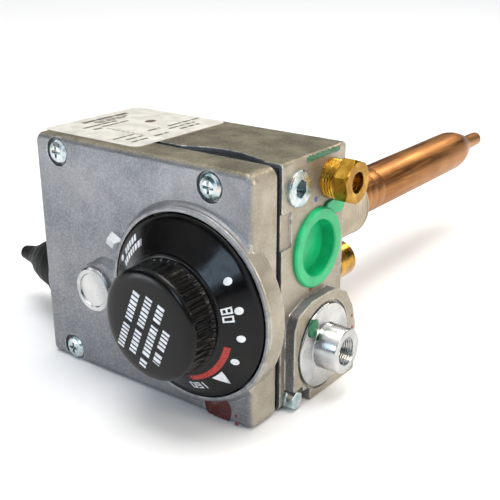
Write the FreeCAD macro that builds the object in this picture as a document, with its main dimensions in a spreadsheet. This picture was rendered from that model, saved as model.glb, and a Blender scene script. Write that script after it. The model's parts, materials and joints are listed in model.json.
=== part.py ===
import FreeCAD, Part
import math
import os
import re
import Sketcher
from FreeCAD import Placement, Rotation, Vector

# Thermostatic gas valve of a storage water heater, in millimetres.
# Origin: where the tank shank's axis meets the casting's rear face. +Y runs along the shank into the
# tank, -Y is the dial side, +X is the side with the outlet, pilot and thermocouple ports, +Z is up.
DRIVING = {
    # casting and front cover
    "left": -54.5, "right": 33.5, "floor": -39.25, "roof": 39.25,
    "front": -47.5, "cover_back": -36.3, "body_front": -33.7, "scallop_radius": 30,
    "wall": 3.2, "corner_round": 3.5, "body_round": 1.2, "foot_round": 2.2, "front_round": 2.0,
    "cavity_front": -42, "gasket_inset": 1.2, "chamber_floor": -27,
    # dial boss on the cover
    "dial_x": 11.1, "dial_z": -3.75, "boss_radius": 30.4, "boss_bore": 28.9,
    "boss_front": -50.1, "boss_back": -43.1, "boss_floor": -45,
    # dial, knob and shaft
    "rim_radius": 28.3, "rim_back": -47.7, "cone_end": -56.3, "cone_radius": 18.6,
    "knob_base": -56.9, "knob_front": -67.3, "knob_radius": 17.3,
    "flute_radius": 0.75, "flute_count": 40,
    "shaft_radius": 3, "shaft_end": -19.2, "shaft_flat": 2.2, "slip": 0.05,
    "knob_coil": 6.8, "spring_wire": 0.5, "knob_coil_top": -55,
    # cover screws
    "screw_radius": 2, "head_radius": 3.9, "sink_radius": 4.7, "sink_floor": -46, "screw_end": -24,
    "top_left_x": -43.9, "top_left_z": 33.9, "top_right_x": 18.5, "top_right_z": 33.5,
    "low_left_x": -43.1, "low_left_z": -35, "low_right_x": 20.3, "low_right_z": -35,
    "post_radius": 6.5, "wax_radius": 5.3, "waxed_head": 2.7,
    # pressure regulator behind the round cap
    "regulator_x": -27.5, "regulator_z": -8.2, "cap_radius": 7.6, "cap_front": -51.7, "cap_thread": 6,
    "ring_outer": 12, "ring_inner": 9.6, "diaphragm_front": -37.1,
    # gas ports: inlet on the left, outlet on the right
    "port_radius": 9.8, "mouth_radius": 10.6, "mouth_depth": 5.2, "plug_stem": 10.54, "plug_length": 4.6,
    "flange_radius": 12.6, "flange_thick": 1.3, "cup_radius": 8.8,
    "inlet_y": -20, "inlet_z": -21.5, "inlet_face": -72.1, "inlet_boss": 13.5,
    "outlet_y": -15.3, "outlet_z": 9.55,
    # pilot connection for 1/4 inch tube
    "pilot_y": -8.1, "pilot_z": 29.75, "pilot_thread": 4.8, "tube_hole": 3.3, "nut_flats": 12.7,
    "nut_back": 38.5, "nut_front": 42.9, "pilot_seat": 37,
    "tap_y": -26.2, "tap_z": 30.75, "tap_thread": 3.9, "tap_head": 5.5,
    # magnet valve and its housing
    "magnet_y": -14.7, "magnet_z": -22.6, "magnet_bore": 9, "housing_face": 37,
    "magnet_disc": 13.7, "magnet_boss": 7.3, "magnet_end": 45.4, "probe_hole": 4.2, "safety_seat": 15.5,
    # tank shank, sensing tube and rod
    "shank_radius": 13.335, "shank_length": 54, "stub_radius": 12, "stub_depth": 12,
    "tube_radius": 8.9, "tube_shoulder": 152, "nib_tip": 184.5, "rod_radius": 2.5, "rod_front": -29.2,
    # thermostat lever and main valve
    "main_x": -24, "main_z": 2, "main_bore": 8, "main_seat": -25, "pivot_x": -9, "pivot_y": -30.2,
    # pilot crank
    "crank_x": 20, "crank_y": -23,
}

doc = FreeCAD.newDocument("gas_valve")
sheet = doc.addObject("Spreadsheet::Sheet", "Dims")
for row, (alias, value) in enumerate(DRIVING.items(), start=1):
    sheet.set(f"A{row}", alias)
    sheet.set(f"B{row}", str(value))
    sheet.setAlias(f"B{row}", alias)
doc.recompute()

ALONG = {"X": Rotation(Vector(0, 1, 0), 90), "Y": Rotation(Vector(1, 0, 0), -90), "Z": Rotation()}
DIAL = ("dial_x", "dial_z")
MAGNET = ("magnet_y", "magnet_z")
SHANK = ("0", "0")
REGULATOR = ("regulator_x", "regulator_z")
SCALLOP = ("12", "body_front + 4.3 - scallop_radius")
WAX = ("low_right_x", "low_right_z - 0.6")
INLET = ("inlet_y", "inlet_z")
OUTLET = ("outlet_y", "outlet_z")
PILOT = ("pilot_y", "pilot_z")
MAIN = ("main_x", "main_z")
CRANK = ("crank_x", "crank_y")
LOCK = ("-29.6", "-36")
REAR_PLUG = ("27.5", "-2.9")
subparts = {}


def cell(expression):
    """Point every alias of an expression at the sheet."""
    return re.sub(r"[a-z_]+", lambda word: ("Dims." if word[0] in DRIVING else "") + word[0], expression)


def drive(item, **properties):
    for name, expression in properties.items():
        item.setExpression(name, cell(expression))


def put(item, spot, rotation=Rotation()):
    """Place an item with its base point at three expressions."""
    item.Placement = Placement(Vector(), rotation)
    for letter, expression in zip("xyz", spot):
        item.setExpression("Placement.Base." + letter, cell(expression))
    return item


def keep(item, label):
    """Make an item a sub-part: its label names its node and its file."""
    item.Label = label
    subparts[label] = item
    return item


def spot_on(axis, along, centre):
    """A point at a distance along an axis whose line passes through centre in the other two directions."""
    point = list(centre)
    point.insert("XYZ".index(axis), along)
    return point


def bar(name, low, high):
    """A box between two corners."""
    item = doc.addObject("Part::Box", name)
    for size, near, far in zip(("Length", "Width", "Height"), low, high):
        item.setExpression(size, cell(f"({far}) - ({near})"))
    return put(item, low)


def rod(name, axis, centre, start, end, radius):
    """A cylinder along an axis, from start to end."""
    item = doc.addObject("Part::Cylinder", name)
    drive(item, Radius=radius, Height=f"({end}) - ({start})")
    return put(item, spot_on(axis, start, centre), ALONG[axis])


def join(name, pieces):
    item = doc.addObject("Part::MultiFuse", name)
    item.Shapes = pieces
    item.Refine = True
    return item


def carve(name, base, tools):
    """Take one or more tools out of a base."""
    item = doc.addObject("Part::Cut", name)
    item.Base = base
    item.Tool = tools[0] if len(tools) == 1 else join(name + "_tools", tools)
    item.Refine = True
    return item


def group(name, pieces):
    item = doc.addObject("Part::Compound", name)
    item.Links = pieces
    return item


def sketch_on(body, role, name):
    sketch = body.newObject("Sketcher::SketchObject", name)
    plane = [feature for feature in body.Origin.OriginFeatures if feature.Role == role][0]
    sketch.AttachmentSupport = [(plane, "")]
    sketch.MapMode = "FlatFace"
    return sketch


def draw(sketch, corners):
    """Close a polygon through corners, each held at its own two distances from the sketch's origin."""
    count = len(corners)
    start = [Vector(50 + 9 * math.cos(2 * math.pi * i / count), 50 + 9 * math.sin(2 * math.pi * i / count), 0)
             for i in range(count)]
    for i in range(count):
        sketch.addGeometry(Part.LineSegment(start[i], start[(i + 1) % count]), False)
    for i, corner in enumerate(corners):
        sketch.addConstraint(Sketcher.Constraint("Coincident", i, 2, (i + 1) % count, 1))
        for kind, expression in zip(("DistanceX", "DistanceY"), corner):
            number = sketch.addConstraint(Sketcher.Constraint(kind, -1, 1, i, 1, 1.0))
            sketch.setExpression(f"Constraints[{number}]", cell(expression))


def turned(name, axis, centre, profile):
    """A piece turned about an axis through centre. The profile's corners are (along, radius)."""
    body = doc.addObject("PartDesign::Body", name)
    sketch = sketch_on(body, "XY_Plane", name + "_profile")
    draw(sketch, profile if axis == "X" else [(radius, along) for along, radius in profile])
    turn = body.newObject("PartDesign::Revolution", name + "_turn")
    turn.Profile = sketch
    turn.ReferenceAxis = (sketch, ["H_Axis" if axis == "X" else "V_Axis"])
    turn.Angle = 360
    return put(body, spot_on(axis, "0", centre))


def ring(name, axis, centre, start, end, inner, outer):
    return turned(name, axis, centre, [(start, inner), (start, outer), (end, outer), (end, inner)])


def edges_of(feature, chosen):
    """Names of the edges of a feature's shape whose middle point and direction pass a test."""
    names = []
    for number, edge in enumerate(feature.Shape.Edges, start=1):
        middle = edge.valueAt((edge.FirstParameter + edge.LastParameter) / 2)
        if chosen(edge.tangentAt(edge.FirstParameter), middle):
            names.append(f"Edge{number}")
    return names


def round_off(body, name, radius, chosen):
    doc.recompute()
    base = body.Tip
    fillet = body.newObject("PartDesign::Fillet", name)
    fillet.Base = (base, edges_of(base, chosen))
    fillet.setExpression("Radius", cell(radius))
    body.Tip = fillet
    return fillet


def cast_block(name, near, far, top_round):
    """The casting's outline between two depths."""
    body = doc.addObject("PartDesign::Body", name)
    sketch = sketch_on(body, "XZ_Plane", name + "_outline")
    draw(sketch, [("left", "floor"), ("right", "floor"), ("right", "roof"), ("left", "roof")])
    pad = body.newObject("PartDesign::Pad", name + "_pad")
    pad.Profile = sketch
    pad.setExpression("Length", cell(f"({far}) - ({near})"))
    put(body, ("0", far, "0"))
    round_off(body, name + "_top", top_round, lambda way, at: abs(way.y) > 0.9 and at.z > 0)
    round_off(body, name + "_feet", "foot_round", lambda way, at: abs(way.y) > 0.9 and at.z < -30)
    return body


def coil(label, axis, centre, start, end, radius, wire, turns):
    """A round-wire coil spring between two planes, as one swept solid."""
    height = (end - start) - 2 * wire
    steps = [step / 12 for step in range(12 * turns + 1)]
    curve = Part.BSplineCurve()
    curve.interpolate([Vector(radius * math.cos(2 * math.pi * step), radius * math.sin(2 * math.pi * step),
                              height * step / turns) for step in steps])
    section = Part.Wire(Part.makeCircle(wire, Vector(radius, 0, 0), Vector(0, 1, 0)))
    item = doc.addObject("Part::Feature", label)
    item.Shape = Part.Wire([curve.toShape()]).makePipeShell([section], True, True)
    point = spot_on(axis, start + wire, centre)
    item.Placement = Placement(Vector(*point), ALONG[axis])
    return keep(item, label)


def screw_spots():
    corners = ("top_left", "top_right", "low_left", "low_right")
    return {corner: (corner + "_x", corner + "_z") for corner in corners}


# ---- casting ----

def open_box(name, low, high):
    """A cast cavity that leaves a post for each cover screw."""
    posts = [rod(f"{name}_{corner}_post", "Y", centre, f"({low[1]}) - 1", f"({high[1]}) + 1", "post_radius")
             for corner, centre in screw_spots().items()]
    return carve(name, bar(name + "_space", low, high), posts)


def front_cover():
    block = cast_block("cover_block", "front", "cover_back", "corner_round")
    front_edge = sheet.front - sheet.cover_back + 0.05
    round_off(block, "cover_front_round", "front_round", lambda way, at: at.y < front_edge)
    boss = turned("dial_boss", "Y", DIAL, [
        ("boss_front", "boss_bore - 2"), ("boss_front", "boss_radius - 0.6"),
        ("boss_front + 0.6", "boss_radius"), ("boss_back", "boss_radius"), ("boss_back", "0"),
        ("boss_floor", "0"), ("boss_floor", "boss_bore - 2")])
    fillet = turned("boss_fillet", "Y", DIAL, [
        ("front - 1.1", "boss_radius"), ("front - 0.4", "boss_radius + 0.5"),
        ("front", "boss_radius + 1.3"), ("front + 1", "boss_radius + 1.3"),
        ("front + 1", "boss_radius - 1"), ("front - 1.1", "boss_radius - 1")])
    outside = bar("boss_fillet_outside", ("right - 0.6", "front - 3", "floor"),
                  ("right + 20", "front + 3", "roof"))
    fillet = carve("boss_fillet_inside", fillet, [outside])
    ridge = turned("regulator_ridge", "Y", ("regulator_x + 4", "regulator_z + 2.2"), [
        ("front + 1", "0"), ("front + 1", "9.4"), ("front", "9"), ("front - 1.2", "8.2"),
        ("boss_front + 0.4", "7"), ("boss_front + 0.1", "6"), ("boss_front + 0.1", "0")])
    surround = turned("regulator_surround", "Y", REGULATOR, [
        ("front + 1", "0"), ("front + 1", "cap_radius + 1.4"), ("front", "cap_radius + 1"),
        ("front - 0.9", "cap_radius + 0.5"), ("front - 0.9", "0")])
    cavity = open_box("cover_cavity", ("left + wall", "cavity_front", "floor + wall"),
                      ("right - wall", "cover_back", "roof - wall"))
    shell = carve("cover_shell", join("cover_solid", [block, fillet, boss, ridge, surround]), [cavity])
    collar = ring("regulator_ring", "Y", REGULATOR, "cavity_front", "diaphragm_front",
                  "ring_inner", "ring_outer")
    holes = [
        rod("dial_recess", "Y", DIAL, "boss_front - 1", "boss_floor", "boss_bore"),
        rod("shaft_hole", "Y", DIAL, "boss_floor - 1", "cavity_front + 1", "shaft_radius + slip + 0.03"),
        rod("o_ring_seat", "Y", DIAL, "cavity_front - 2", "cavity_front + 1", "shaft_radius + 1.7"),
        rod("cap_hole", "Y", REGULATOR, "front - 1", "cavity_front + 1", "cap_thread"),
        rod("cap_seat", "Y", REGULATOR, "cap_front - 1", "front", "cap_radius"),
        wax_fill("wax_recess", "front - 1")]
    for corner, centre in screw_spots().items():
        holes.append(rod(corner + "_way", "Y", centre, "front - 1", "cover_back + 1", "screw_radius + 0.2"))
        if corner != "low_right":
            holes.append(rod(corner + "_sink", "Y", centre, "front - 1", "sink_floor", "sink_radius"))
    cover = carve("cover_bored", join("cover_with_ring", [shell, collar]), holes)
    keep(carve("cover", cover, [index_pointer()]), "front_cover")


def gasket_lip():
    """The edge of the gasket that lies in the scallop of the casting's roof."""
    lip = doc.addObject("Part::Common", "gasket_lip")
    lip.Base = rod("lip_round", "Z", SCALLOP, "roof - 1.8", "roof - gasket_inset", "scallop_radius - 0.3")
    lip.Tool = bar("lip_cut", ("-20", "body_front - 0.5", "roof - 3"), ("40", "-28", "roof"))
    return lip


def cover_gasket():
    low = ("left + gasket_inset", "cover_back", "floor + gasket_inset")
    high = ("right - gasket_inset", "body_front", "roof - gasket_inset")
    window = open_box("gasket_window", ("left + 12", "cover_back - 1", "floor + 5"),
                      ("right - 5", "body_front + 1", "roof - 5"))
    ways = [rod(corner + "_gasket_way", "Y", centre, "cover_back - 1", "body_front + 1", "screw_radius + 0.2")
            for corner, centre in screw_spots().items()]
    plate = join("gasket_solid", [bar("gasket_plate", low, high), gasket_lip()])
    keep(carve("gasket", plate, [window] + ways), "cover_gasket")


def magnet_housing():
    """The raised casting on the right that holds the magnet valve, rounder towards the back."""
    body = doc.addObject("PartDesign::Body", "housing")
    sketch = sketch_on(body, "YZ_Plane", "housing_outline")
    draw(sketch, [
        ("-31.2", "floor"), ("-31.2", "-12"), ("-29.4", "-8"), ("-22", "-5.4"),
        ("-8.6", "-5.4"), ("-2", "-8.8"), ("2.4", "-15.6"), ("4.6", "magnet_z"), ("4.4", "floor")])
    pad = body.newObject("PartDesign::Pad", "housing_pad")
    pad.Profile = sketch
    pad.setExpression("Length", cell("housing_face - right + 14"))
    put(body, ("right - 14", "0", "0"))
    round_off(body, "housing_round", "corner_round - 0.5", lambda way, at: abs(way.x) > 0.9 and at.z > -38)
    return body


def gas_ways():
    """Cavities and passages of the casting, in the order the gas takes them."""
    return [
        rod("inlet_mouth", "X", INLET, "inlet_face - 1", "inlet_face + mouth_depth", "mouth_radius"),
        rod("inlet_thread", "X", INLET, "inlet_face", "left + 2.5", "port_radius"),
        bar("inlet_pocket", ("left + 2.5", "-31", "-31.8"), ("left + 16.5", "-8", "-8")),
        rod("safety_gallery", "X", MAGNET, "left + 16", "safety_seat - 3", "5"),
        bar("crank_foot_room", ("5.5", "crank_y - 2.6", "-27"), ("safety_seat - 3", "-9", "-11.9")),
        bar("crank_room", ("5.5", "crank_y - 2.6", "-12"), ("crank_x + 4", "-14", "-1.6")),
        rod("shaft_way", "Y", DIAL, "chamber_floor - 1", "-15", "shaft_radius + 0.3"),
        rod("safety_opening", "X", MAGNET, "safety_seat - 4", "safety_seat + 1", "5"),
        rod("magnet_space", "X", MAGNET, "safety_seat", "housing_face + 1", "magnet_bore"),
        rod("magnet_sink", "X", MAGNET, "housing_face - 1", "housing_face + 1", "magnet_disc + 0.9"),
        rod("cock_feed", "Y", ("17.6", "-25"), "chamber_floor - 1", "magnet_y", "2"),
        open_box("front_chamber", ("-36", "body_front - 1", "-36"), ("30", "chamber_floor", "36")),
        rod("main_way", "Y", MAIN, "chamber_floor - 1", "-8", "main_bore"),
        rod("outlet_gallery", "X", ("-20", "outlet_z"), "main_x", "17", "4"),
        rod("outlet_thread", "X", OUTLET, "15.5", "right + 1", "port_radius"),
        rod("outlet_mouth", "X", OUTLET, "right - mouth_depth", "right + 1", "mouth_radius"),
        rod("pilot_feed", "Y", ("14", "pilot_z"), "chamber_floor - 1", "pilot_y", "2"),
        rod("pilot_filter_bore", "X", PILOT, "11", "25", "4.2"),
        rod("pilot_thread_bore", "X", PILOT, "24", "right + 1", "pilot_thread"),
        rod("tap_bore", "X", ("tap_y", "tap_z"), "right - 7.5", "right + 1", "tap_thread")]


def valve_body():
    block = cast_block("body_block", "body_front", "0", "body_round")
    boss = turned("inlet_boss_piece", "X", INLET, [
        ("left + 3", "0"), ("left + 3", "inlet_boss"), ("inlet_face + 0.8", "inlet_boss"),
        ("inlet_face", "inlet_boss - 0.8"), ("inlet_face", "0")])
    solid = join("body_solid", [block, boss, magnet_housing()])
    details = [
        rod("shank_socket", "Y", SHANK, "-stub_depth", "1", "stub_radius"),
        rod("rod_way", "Y", SHANK, "chamber_floor - 1", "-stub_depth + 1", "rod_radius + 1"),
        rod("crank_pin_bore", "Z", CRANK, "-15.5", "1.5", "1.2"),
        rod("rear_plug_bore", "Y", REAR_PLUG, "-6", "1", "3.5"),
        rod("lock_screw_bore", "X", LOCK, "right - 2.8", "right + 1", "1.6"),
        bar("lock_screw_step", ("right", "-33", "floor - 1"), ("housing_face + 1", "-26", "-32.6")),
        bar("lock_screw_side", ("right", "-27", "floor - 1"), ("housing_face + 1", "-22", "-34.3")),
        bar("side_step", ("right - 0.6", "body_front - 1", "13.5"),
            ("right + 1", "body_front + 4.8", "24.5")),
        rod("roof_scallop", "Z", SCALLOP, "roof - 1.9", "roof + 1", "scallop_radius")]
    for corner, centre in screw_spots().items():
        details.append(rod(corner + "_tap", "Y", centre, "body_front - 1", "screw_end + 1", "screw_radius"))
    keep(carve("body_casting", solid, gas_ways() + details), "valve_body")


# ---- fasteners and trim on the casting ----

def cross_slot(name, axis, centre, start, end, half_length, half_width):
    """Two crossed slots in a screw's head."""
    tools = []
    for number, (wide, tall) in enumerate(((half_length, half_width), (half_width, half_length))):
        first, second = centre
        low = spot_on(axis, start, (f"{first} - {wide}", f"{second} - {tall}"))
        high = spot_on(axis, end, (f"{first} + {wide}", f"{second} + {tall}"))
        tools.append(bar(f"{name}_slot_{number}", low, high))
    return tools


def cover_screw(corner, centre):
    return turned(corner + "_screw", "Y", centre, [
        ("sink_floor", "0"), ("screw_end", "0"), ("screw_end", "screw_radius"),
        ("sink_floor", "screw_radius"), ("sink_floor", "head_radius"), ("sink_floor - 1", "head_radius"),
        ("sink_floor - 1.7", "head_radius - 0.7"), ("sink_floor - 2.1", "head_radius - 1.9"),
        ("sink_floor - 2.2", "0")])


def waxed_screw(corner, centre):
    """The low-headed screw that hides under the seal wax."""
    return turned(corner + "_screw", "Y", centre, [
        ("sink_floor", "0"), ("screw_end", "0"), ("screw_end", "screw_radius"),
        ("sink_floor", "screw_radius"), ("sink_floor", "waxed_head"),
        ("sink_floor - 0.7", "waxed_head"), ("sink_floor - 0.7", "0")])


def cover_screws():
    screws = []
    for corner, centre in screw_spots().items():
        waxed = corner == "low_right"
        blank = waxed_screw(corner, centre) if waxed else cover_screw(corner, centre)
        depth = "sink_floor - 0.4" if waxed else "sink_floor - 1.1"
        slots = cross_slot(corner, "Y", centre, "sink_floor - 3", depth, "1.9", "0.45")
        screws.append(carve(corner + "_driven", blank, slots))
    keep(group("screw_set", screws), "cover_screws")


def wax_fill(name, start):
    """The round seal over the low right screw, kept clear of the dial's recess."""
    return carve(name, rod(name + "_disc", "Y", WAX, start, "sink_floor", "wax_radius"),
                 [rod(name + "_dial_side", "Y", DIAL, f"({start}) - 1", "sink_floor + 1", "boss_bore + 0.9")])


def seal_wax():
    fill = wax_fill("wax_filling", "front + 0.15")
    edge = bar("wax_edge", ("low_right_x - 9", "front - 1", "floor - 9"),
               ("low_right_x + 9", "sink_floor + 1", "floor"))
    head = rod("wax_head_room", "Y", ("low_right_x", "low_right_z"), "sink_floor - 0.7", "sink_floor + 1",
               "waxed_head")
    keep(carve("wax", fill, [edge, head]), "seal_wax")


def rating_label():
    body = doc.addObject("PartDesign::Body", "label_sheet")
    sketch = sketch_on(body, "XY_Plane", "label_outline")
    draw(sketch, [("left + corner_round", "front + 3.5"), ("-12.3", "front + 3.5"),
                  ("-12.3", "-0.4"), ("left + corner_round", "-0.4")])
    pad = body.newObject("PartDesign::Pad", "label_pad")
    pad.Profile = sketch
    pad.Length = 0.18
    put(body, ("0", "0", "roof"))
    round_off(body, "label_round", "3", lambda way, at: abs(way.z) > 0.9 and at.x > -20 and at.y < -20)
    keep(body, "rating_label")


def index_pointer():
    wedge = doc.addObject("Part::Wedge", "pointer_wedge")
    for name, size in {"Xmin": 0, "Xmax": 5.4, "X2min": 0.8, "X2max": 3.8, "Ymin": 0, "Ymax": 2.2,
                       "Zmin": 0, "Zmax": 5.2, "Z2min": 1.6, "Z2max": 3.4}.items():
        setattr(wedge, name, size)
    put(wedge, ("dial_x - 32.3", "front", "dial_z + 16"),
        Rotation(Vector(0, 1, 0), 25) * Rotation(Vector(1, 0, 0), 180))
    return keep(wedge, "index_pointer")


def housing_screw():
    """Hexagon screw in the step at the housing's lower corner."""
    head = doc.addObject("Part::Prism", "lock_screw_head")
    head.Polygon = 6
    drive(head, Circumradius="3", Height="2.6")
    put(head, spot_on("X", "right + 1", LOCK), ALONG["X"])
    washer = rod("lock_screw_washer", "X", LOCK, "right", "right + 1", "3")
    thread = rod("lock_screw_thread", "X", LOCK, "right - 2.8", "right + 0.5", "1.6")
    keep(join("lock_screw", [head, washer, thread]), "housing_screw")


def tap_plug():
    """Socket screw that closes the test tap."""
    blank = turned("tap_screw", "X", ("tap_y", "tap_z"), [
        ("right - 7", "0"), ("right - 7", "tap_thread"), ("right", "tap_thread"),
        ("right", "tap_head"), ("right + 1.1", "tap_head"), ("right + 1.5", "tap_head - 0.4"),
        ("right + 1.5", "0")])
    socket = doc.addObject("Part::Prism", "tap_socket")
    socket.Polygon = 6
    drive(socket, Circumradius="2.9", Height="6")
    put(socket, ("right - 3", "tap_y", "tap_z"), ALONG["X"])
    keep(carve("tap_screw_driven", blank, [socket]), "side_test_plug")


def rear_plug():
    """Round brass plug in the rear wall, close to the right side."""
    keep(turned("rear_plug_body", "Y", REAR_PLUG, [
        ("-6", "0"), ("-6", "3.5"), ("0", "3.5"), ("0", "6.2"), ("8.8", "6.2"), ("10.2", "5.2"),
        ("10.8", "3.5"), ("10.8", "0")]), "rear_brass_plug")


# ---- dial, knob and gas cock ----

def temperature_dial():
    skirt = turned("dial_skirt", "Y", DIAL, [
        ("rim_back", "rim_radius - 1.2"), ("rim_back", "rim_radius - 0.1"),
        ("boss_front + 0.2", "rim_radius"), ("boss_front - 0.35", "rim_radius - 0.7"),
        ("cone_end", "cone_radius"), ("knob_base", "cone_radius - 0.6"),
        ("knob_base", "shaft_radius"), ("-50", "shaft_radius"), ("-50", "shaft_radius + 2.2"),
        ("knob_coil_top", "shaft_radius + 2.2"), ("knob_coil_top", "cone_radius - 2.2"),
        ("boss_front + 1.1", "rim_radius - 2.4")])
    stop = bar("dial_stop", ("dial_x + 21.6", "-51.4", "dial_z - 1"),
               ("dial_x + 24.4", "rim_back - 0.1", "dial_z + 1"))
    keep(join("dial", [skirt, stop]), "temperature_dial")


def knob_cap():
    body = turned("knob", "Y", DIAL, [
        ("knob_base", "knob_radius"), ("knob_front + 0.9", "knob_radius - 0.2"),
        ("knob_front + 0.25", "knob_radius - 0.7"), ("knob_front", "knob_radius - 1.5"),
        ("knob_front", "0"), ("knob_front + 5.3", "0"), ("knob_front + 5.3", "shaft_radius"),
        ("knob_base", "shaft_radius"), ("knob_base", "shaft_radius + 2.2"),
        ("knob_front + 2.1", "shaft_radius + 2.2"), ("knob_front + 2.1", "knob_radius - 2.6"),
        ("knob_base", "knob_radius - 2.6")])
    doc.recompute()
    flute = body.newObject("PartDesign::SubtractiveCylinder", "knob_flute")
    put(flute, ("knob_radius + 0.25", "knob_front + 1.7", "0"), ALONG["Y"])
    drive(flute, Radius="flute_radius", Height="knob_base - knob_front - 2.6")
    pattern = body.newObject("PartDesign::PolarPattern", "knob_flutes")
    pattern.Originals = [flute]
    axis = [feature for feature in body.Origin.OriginFeatures if feature.Role == "Y_Axis"][0]
    pattern.Axis = (axis, [""])
    pattern.Angle = 360
    pattern.setExpression("Occurrences", cell("flute_count"))
    body.Tip = pattern
    keep(body, "knob_cap")


def flat_bore(name, radius, flat, start, end):
    """A round hole or shaft with one flat, on the dial's axis."""
    beyond = bar(name + "_flat", (f"dial_x + {flat}", f"({start}) - 1", "dial_z - 9"),
                 ("dial_x + 9", f"({end}) + 1", "dial_z + 9"))
    return carve(name, rod(name + "_round", "Y", DIAL, start, end, radius), [beyond])


def dial_shaft():
    upper = rod("shaft_upper", "Y", DIAL, "knob_front + 5.3", "-36", "shaft_radius")
    lower = flat_bore("shaft_lower", "shaft_radius", "shaft_flat", "-36", "-24")
    nose = turned("shaft_nose", "Y", DIAL, [
        ("-24", "0"), ("-24", "shaft_flat"), ("shaft_end - 1.6", "shaft_flat"), ("shaft_end", "0.9"),
        ("shaft_end", "0")])
    keep(join("shaft", [upper, lower, nose]), "dial_shaft")
    clip = ring("clip", "Y", DIAL, "cavity_front + 0.4", "cavity_front + 1.1", "shaft_radius", "5")
    keep(clip, "shaft_clip")


def cock_ports(name, start, end):
    return [rod(f"{name}_port_{number}", "Y", ("dial_x", f"dial_z + {offset}"), start, end, "1.5")
            for number, offset in enumerate(("5.4", "-5.4"))]


def gas_cock():
    """The disc turns with the shaft over a seat that has the same two ports."""
    rotor = rod("rotor_blank", "Y", DIAL, "-32.5", "-29.5", "8")
    hole = flat_bore("rotor_hole", "shaft_radius + slip", "shaft_flat + slip", "-33.5", "-29")
    keep(carve("rotor", rotor, [hole] + cock_ports("rotor", "-33.5", "-29")), "gas_cock_disc")
    seat = rod("seat_blank", "Y", DIAL, "-29.5", "chamber_floor", "8")
    centre = rod("seat_centre", "Y", DIAL, "-30", "-26", "shaft_radius + 0.3")
    keep(carve("seat", seat, [centre] + cock_ports("seat", "-30", "-26")), "cock_seat")


def dial_stop_pin():
    centre = ("dial_x + 3.99", "dial_z - 22.65")
    keep(rod("pin", "Y", centre, "boss_floor - 2.2", "boss_floor", "1.2"), "dial_stop_pin")


def shaft_seal():
    item = doc.addObject("Part::Torus", "seal_ring")
    drive(item, Radius1="shaft_radius + 0.87", Radius2="0.77")
    put(item, spot_on("Y", "cavity_front - 1", DIAL), ALONG["Y"])
    keep(item, "shaft_o_ring")


# ---- pressure regulator ----

def regulator():
    keep(turned("cap", "Y", REGULATOR, [
        ("front", "cap_radius"), ("cap_front + 0.7", "cap_radius"), ("cap_front", "cap_radius - 0.6"),
        ("cap_front", "cap_radius - 1.9"), ("cap_front + 0.5", "cap_radius - 2.2"),
        ("cap_front + 0.5", "0"), ("front + 1", "0"), ("front + 1", "4.8"), ("front + 3.5", "4.8"),
        ("front + 3.5", "cap_thread"), ("front", "cap_thread")]), "regulator_cap")
    keep(turned("plate", "Y", REGULATOR, [
        ("diaphragm_front", "0"), ("diaphragm_front", "7"), ("diaphragm_front - 0.8", "7"),
        ("diaphragm_front - 0.8", "3"), ("diaphragm_front - 2", "3"),
        ("diaphragm_front - 2", "0")]), "diaphragm_plate")
    sheet_disc = rod("diaphragm", "Y", REGULATOR, "diaphragm_front", "cover_back", "ring_outer")
    keep(sheet_disc, "regulator_diaphragm")
    clamp = ring("diaphragm_clamp", "Y", REGULATOR, "cover_back", "cover_back + 0.9",
                 "ring_inner", "ring_outer")
    keep(clamp, "diaphragm_ring")


# ---- thermostat and main valve ----

def tank_shank():
    keep(turned("shank", "Y", SHANK, [
        ("-stub_depth", "6"), ("-stub_depth", "stub_radius"), ("0", "stub_radius"),
        ("0", "shank_radius"), ("shank_length - 1.2", "shank_radius"),
        ("shank_length", "shank_radius - 1.2"), ("shank_length", "tube_radius"),
        ("shank_length - 22", "tube_radius"), ("shank_length - 22", "6")]), "tank_shank")


def sensing_tube():
    """Copper tube with a stepped shoulder and a thin nib, over the rod that moves the lever."""
    keep(turned("tube", "Y", SHANK, [
        ("shank_length - 22", "7.9"), ("shank_length - 22", "tube_radius"), ("tube_shoulder", "tube_radius"),
        ("tube_shoulder + 4", "8.3"), ("tube_shoulder + 7.5", "7.4"), ("tube_shoulder + 11", "6.4"),
        ("tube_shoulder + 14", "5"), ("tube_shoulder + 17.5", "3.8"), ("tube_shoulder + 20", "3.4"),
        ("nib_tip - 2", "3.3"), ("nib_tip", "2.6"), ("nib_tip", "0"), ("tube_shoulder + 8", "0"),
        ("tube_shoulder + 8", "5.4"), ("tube_shoulder + 4", "6.6"), ("tube_shoulder - 2", "7.9")]),
        "sensing_tube")
    keep(rod("inner_rod", "Y", SHANK, "rod_front", "tube_shoulder + 8", "rod_radius"), "thermostat_rod")
    keep(rod("cutoff", "Y", ("5", "0"), "128", "142", "2"), "thermal_cutoff")
    leads = [rod(f"cutoff_lead_{number}", "Y", ("4.4", height), "-stub_depth + 0.4", "128", "0.4")
             for number, height in enumerate(("-0.8", "0.8"))]
    keep(group("lead_pair", leads), "cutoff_leads")


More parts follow.
